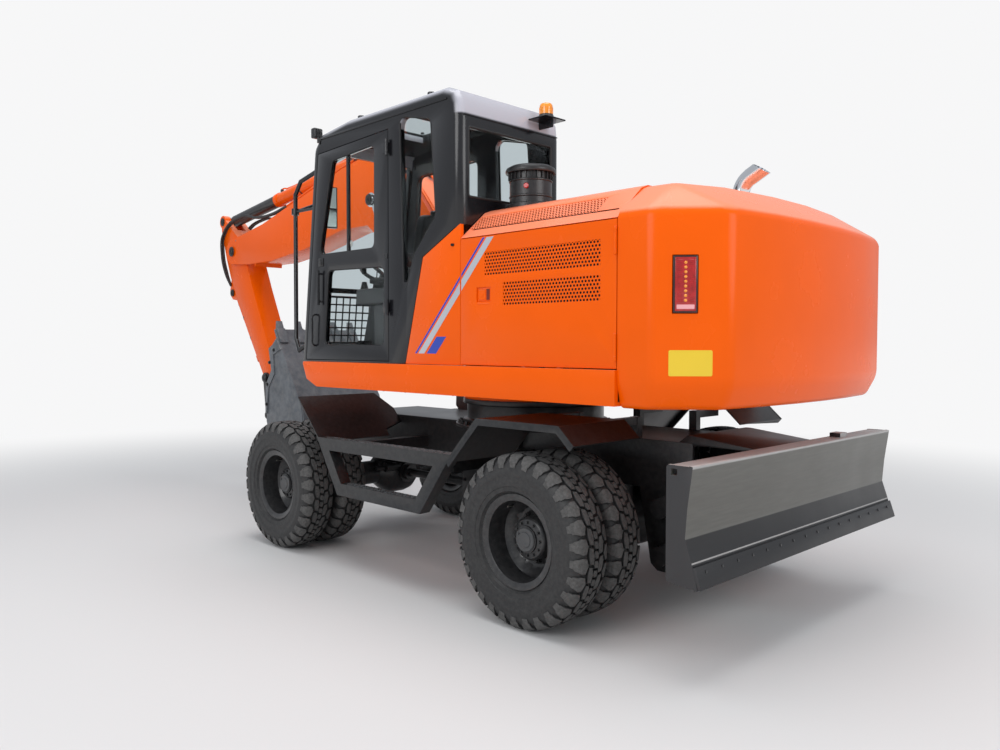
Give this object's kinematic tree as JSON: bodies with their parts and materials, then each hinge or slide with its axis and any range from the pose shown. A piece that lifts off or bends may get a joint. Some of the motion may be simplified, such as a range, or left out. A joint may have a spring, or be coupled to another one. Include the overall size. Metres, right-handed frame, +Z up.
{
  "type": "wheeled excavator",
  "caption": "Wheeled excavator with twin tyres, a slewing upper body with cab, a one-piece boom, stick and bucket, and a rear dozer blade on parallel arms.",
  "frame": {"origin": "middle of the machine's overall length and width, on the ground under the tyres", "axes": "+X forwards towards the working arm, +Y to the cab side, +Z up"},
  "size_m": [7.5985, 2.509, 3.6056],
  "materials": {
    "orange_paint": "gloss",
    "black_paint": "satin",
    "grey_paint": "satin",
    "rod_steel": "polished",
    "tyre_rubber": "matte",
    "window_glass": "clear",
    "black_plastic": "matte",
    "cushion": "matte",
    "lamp_lens": "gloss",
    "cast_block": "matte"
  },
  "bodies": {
    "undercarriage": {"chassis_frame": "black_paint", "slew_ring": "black_paint", "front_axle": "black_paint", "rear_axle": "black_paint", "driveline": "grey_paint", "side_steps": "black_paint"},
    "knuckle_left": {"knuckle_left": "black_paint"},
    "knuckle_right": {"knuckle_right": "black_paint"},
    "wheels_front_left": {"rim_front_left": "black_paint", "tyre_front_left": "tyre_rubber"},
    "wheels_front_right": {"rim_front_right": "black_paint", "tyre_front_right": "tyre_rubber"},
    "wheels_rear_left": {"rim_rear_left": "black_paint", "tyre_rear_left": "tyre_rubber"},
    "wheels_rear_right": {"rim_rear_right": "black_paint", "tyre_rear_right": "tyre_rubber"},
    "blade_arms": {"blade_arms": "black_paint"},
    "blade": {"blade": "grey_paint"},
    "blade_links": {"blade_links": "black_paint"},
    "blade_cylinder": {"blade_cylinder": "black_paint"},
    "blade_rod": {"blade_rod": "rod_steel"},
    "upper_body": {"upper_frame": "orange_paint", "counterweight": "orange_paint", "engine_hood": "orange_paint", "side_tanks": "orange_paint", "engine_block": "cast_block", "cab_frame": "black_paint", "cab_glass": "window_glass", "operator_chair": "cushion", "cab_controls": "black_plastic", "handrail_mirror": "black_paint", "lamps": "lamp_lens", "air_precleaner": "black_plastic", "exhaust_pipe": "rod_steel"},
    "service_door_left": {"service_door_left": "orange_paint"},
    "service_door_right": {"service_door_right": "orange_paint"},
    "cab_door": {"cab_door": "black_paint", "door_glass": "window_glass"},
    "boom": {"boom": "orange_paint"},
    "boom_cylinders": {"boom_cylinders": "orange_paint"},
    "boom_rods": {"boom_rods": "rod_steel"},
    "stick": {"stick": "orange_paint"},
    "stick_cylinder": {"stick_cylinder": "orange_paint"},
    "stick_rod": {"stick_rod": "rod_steel"},
    "bucket": {"bucket": "grey_paint"},
    "bucket_cylinder": {"bucket_cylinder": "orange_paint"},
    "bucket_rod": {"bucket_rod": "rod_steel"},
    "bucket_rocker": {"bucket_rocker": "black_paint"},
    "bucket_link": {"bucket_link": "black_paint"}
  },
  "joints": [
    {"name": "steer_left", "type": "hinge", "parent": "undercarriage", "child": "knuckle_left", "pos_m": [0.325, 0.64, 0.5275], "axis": [0, 0, 1], "range_deg": [-30, 30]},
    {"name": "steer_right", "type": "hinge", "parent": "undercarriage", "child": "knuckle_right", "pos_m": [0.325, -0.64, 0.5275], "axis": [0, 0, 1], "range_deg": [-30, 30]},
    {"name": "roll_front_left", "type": "hinge", "parent": "knuckle_left", "child": "wheels_front_left", "pos_m": [0.325, 0.952, 0.5275], "axis": [0, 1, 0], "continuous": true},
    {"name": "roll_front_right", "type": "hinge", "parent": "knuckle_right", "child": "wheels_front_right", "pos_m": [0.325, -0.952, 0.5275], "axis": [0, 1, 0], "continuous": true},
    {"name": "roll_rear_left", "type": "hinge", "parent": "undercarriage", "child": "wheels_rear_left", "pos_m": [-2.475, 0.952, 0.5275], "axis": [0, 1, 0], "continuous": true},
    {"name": "roll_rear_right", "type": "hinge", "parent": "undercarriage", "child": "wheels_rear_right", "pos_m": [-2.475, -0.952, 0.5275], "axis": [0, 1, 0], "continuous": true},
    {"name": "blade_lift", "type": "hinge", "parent": "undercarriage", "child": "blade_arms", "pos_m": [-2.945, 0, 0.382], "axis": [0, 1, 0], "range_deg": [-58, 0]},
    {"name": "blade_level", "type": "hinge", "parent": "blade_arms", "child": "blade", "pos_m": [-3.515, 0, 0.7], "axis": [0, 1, 0], "range_deg": [0, 58]},
    {"name": "blade_link_swing", "type": "hinge", "parent": "undercarriage", "child": "blade_links", "pos_m": [-2.945, 0, 0.682], "axis": [0, 1, 0], "range_deg": [-58, 0]},
    {"name": "blade_cylinder_swing", "type": "hinge", "parent": "undercarriage", "child": "blade_cylinder", "pos_m": [-2.945, 0, 0.982], "axis": [0, 1, 0], "range_deg": [-32, 0]},
    {"name": "blade_rod_slide", "type": "slide", "parent": "blade_cylinder", "child": "blade_rod", "axis": [-0.8963, 0, -0.4434], "range_m": [0, 0.4635]},
    {"name": "swing", "type": "hinge", "parent": "undercarriage", "child": "upper_body", "pos_m": [-1.495, 0, 1.29], "axis": [0, 0, 1], "continuous": true},
    {"name": "cab_door_hinge", "type": "hinge", "parent": "upper_body", "child": "cab_door", "pos_m": [-1.245, 1.24, 2.4], "axis": [0, 0, 1], "range_deg": [0, 150]},
    {"name": "service_door_left_hinge", "type": "hinge", "parent": "upper_body", "child": "service_door_left", "pos_m": [-3.205, 1.226, 1.97], "axis": [0, 0, 1], "range_deg": [0, 100]},
    {"name": "service_door_right_hinge", "type": "hinge", "parent": "upper_body", "child": "service_door_right", "pos_m": [-3.205, -1.226, 1.97], "axis": [0, 0, -1], "range_deg": [0, 100]},
    {"name": "boom_lift", "type": "hinge", "parent": "upper_body", "child": "boom", "pos_m": [-1.065, -0.12, 1.68], "axis": [0, -1, 0], "range_deg": [-50, 43]},
    {"name": "boom_cylinder_swing", "type": "hinge", "parent": "upper_body", "child": "boom_cylinders", "pos_m": [-0.415, -0.12, 1.42], "axis": [0, -1, 0], "range_deg": [-52.5, 45.2]},
    {"name": "boom_rod_slide", "type": "slide", "parent": "boom_cylinders", "child": "boom_rods", "axis": [0.4525, 0, 0.8918], "range_m": [-0.526, 0.4525]},
    {"name": "stick_swing", "type": "hinge", "parent": "boom", "child": "stick", "pos_m": [3.39641, -0.12, 2.80063], "axis": [0, 1, 0], "range_deg": [-112, 0]},
    {"name": "stick_cylinder_swing", "type": "hinge", "parent": "boom", "child": "stick_cylinder", "pos_m": [0.97582, -0.12, 3.52991], "axis": [0, -1, 0], "range_deg": [-5, 0]},
    {"name": "stick_rod_slide", "type": "slide", "parent": "stick_cylinder", "child": "stick_rod", "axis": [0.9924, 0, -0.1227], "range_m": [-0.8125, 0]},
    {"name": "bucket_curl", "type": "hinge", "parent": "stick", "child": "bucket", "pos_m": [2.40406, -0.12, 0.94989], "axis": [0, 1, 0], "range_deg": [-165, 0]},
    {"name": "bucket_cylinder_swing", "type": "hinge", "parent": "stick", "child": "bucket_cylinder", "pos_m": [3.54829, -0.12, 2.32206], "axis": [0, 1, 0], "range_deg": [-10, 0]},
    {"name": "bucket_rod_slide", "type": "slide", "parent": "bucket_cylinder", "child": "bucket_rod", "axis": [-0.5744, 0, -0.8186], "range_m": [-0.6695, 0]},
    {"name": "bucket_rocker_swing", "type": "hinge", "parent": "stick", "child": "bucket_rocker", "pos_m": [2.60253, -0.12, 1.32004], "axis": [0, 1, 0], "range_deg": [-111.2, 0]},
    {"name": "bucket_link_swing", "type": "hinge", "parent": "bucket_rocker", "child": "bucket_link", "pos_m": [2.5526, -0.12, 0.90315], "axis": [0, 1, 0], "range_deg": [0, 77.2]}
  ],
  "couplings": [
    {"joint": "steer_right", "follows": "steer_left", "ratio": 1},
    {"joint": "blade_level", "follows": "blade_lift", "ratio": -1},
    {"joint": "blade_link_swing", "follows": "blade_lift", "ratio": 1},
    {"joint": "blade_cylinder_swing", "follows": "blade_lift", "ratio": 0.549},
    {"joint": "blade_rod_slide", "follows": "blade_lift", "m_per_rad": -0.4558},
    {"joint": "boom_cylinder_swing", "follows": "boom_lift", "ratio": 1.0457},
    {"joint": "boom_rod_slide", "follows": "boom_lift", "m_per_rad": 0.6002},
    {"joint": "stick_cylinder_swing", "follows": "stick_swing", "ratio": 0.0438},
    {"joint": "stick_rod_slide", "follows": "stick_swing", "m_per_rad": 0.4151},
    {"joint": "bucket_cylinder_swing", "follows": "bucket_curl", "ratio": 0.0592},
    {"joint": "bucket_rod_slide", "follows": "bucket_curl", "m_per_rad": 0.232},
    {"joint": "bucket_rocker_swing", "follows": "bucket_curl", "ratio": 0.6718},
    {"joint": "bucket_link_swing", "follows": "bucket_curl", "ratio": -0.4662}
  ]
}
